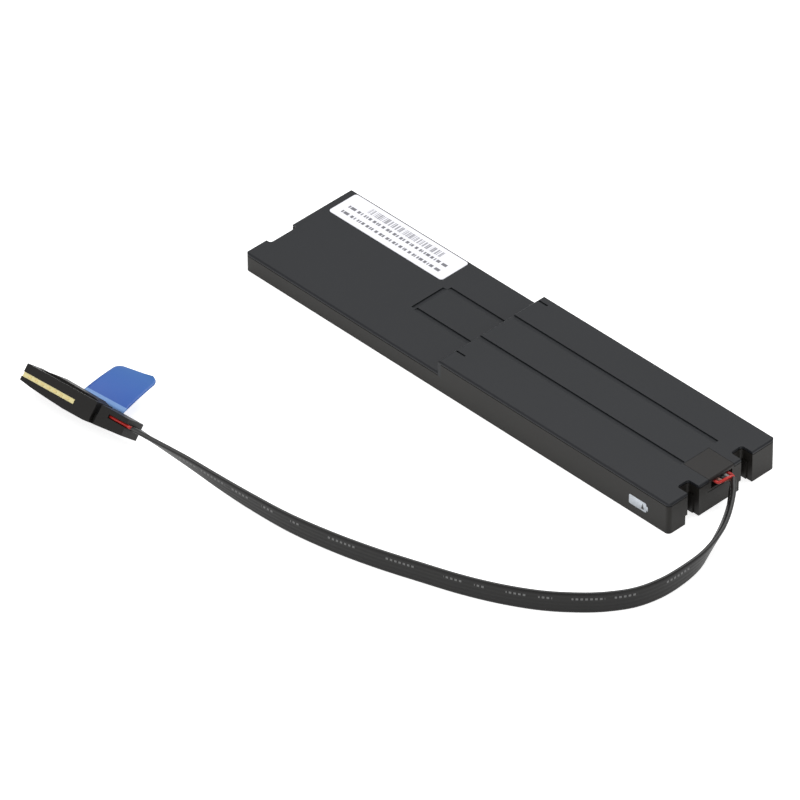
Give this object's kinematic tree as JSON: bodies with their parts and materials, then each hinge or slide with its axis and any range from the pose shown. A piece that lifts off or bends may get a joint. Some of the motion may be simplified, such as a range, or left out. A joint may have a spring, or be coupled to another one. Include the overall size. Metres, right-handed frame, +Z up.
{
  "type": "raid battery module",
  "caption": "Flat two-level backup battery module for a server storage controller, with a flat sleeved cable that ends in a small board-edge plug with a pull tab.",
  "frame": {"origin": "middle of the underside of the case", "axes": "+X along the case toward the cable end, +Y across toward the edge with the label, +Z up through the case"},
  "size_m": [0.1887, 0.1271, 0.0105],
  "materials": {
    "case_plastic": "fine satin moulded texture",
    "cover_plastic": "fine satin moulded texture",
    "label_film": "smooth semi-gloss white label film",
    "cell_can": "satin drawn can",
    "foam": "matte closed-cell foam",
    "nickel": "satin nickel strip",
    "board_laminate": "green solder mask",
    "chip_resin": "matte moulded resin",
    "capacitor_ceramic": "dull fired ceramic",
    "fuse_ceramic": "white ceramic",
    "header_nylon": "natural nylon",
    "wire_red": "satin insulation",
    "wire_black": "satin insulation",
    "wire_brown": "satin insulation",
    "fibre_sheet": "smooth insulating paper",
    "sleeve_black": "satin shrink sleeve with soft gloss",
    "plug_plastic": "fine matte moulded texture",
    "contact_laminate": "pale board edge",
    "contact_gold": "thin gold plating",
    "tab_film": "smooth blue polyester film"
  },
  "bodies": {
    "root": {"bottom_case": "case_plastic", "top_cover": "cover_plastic", "wire_exit_cover": "cover_plastic", "id_label": "label_film", "cell_step_side": "cell_can", "cell_cable_side": "cell_can", "cell_pads": "foam", "cell_spacer": "foam", "series_strap": "nickel", "positive_strap": "nickel", "negative_strap": "nickel", "circuit_board": "board_laminate", "power_transistors": "chip_resin", "controller_chip": "chip_resin", "gauge_chip": "chip_resin", "ceramic_capacitors": "capacitor_ceramic", "power_inductor": "chip_resin", "sense_resistor": "chip_resin", "board_fuse": "fuse_ceramic", "wire_header": "header_nylon", "harness_red": "wire_red", "harness_black": "wire_black", "harness_sense": "wire_brown", "insulating_sheet": "fibre_sheet", "wire_anchor": "foam", "exit_wires": "wire_red", "cable_sleeve": "sleeve_black", "plug_wires": "wire_brown", "plug_housing": "plug_plastic", "plug_cover": "plug_plastic", "contact_board": "contact_laminate", "contact_pads": "contact_gold", "pull_tab": "tab_film"}
  },
  "joints": []
}
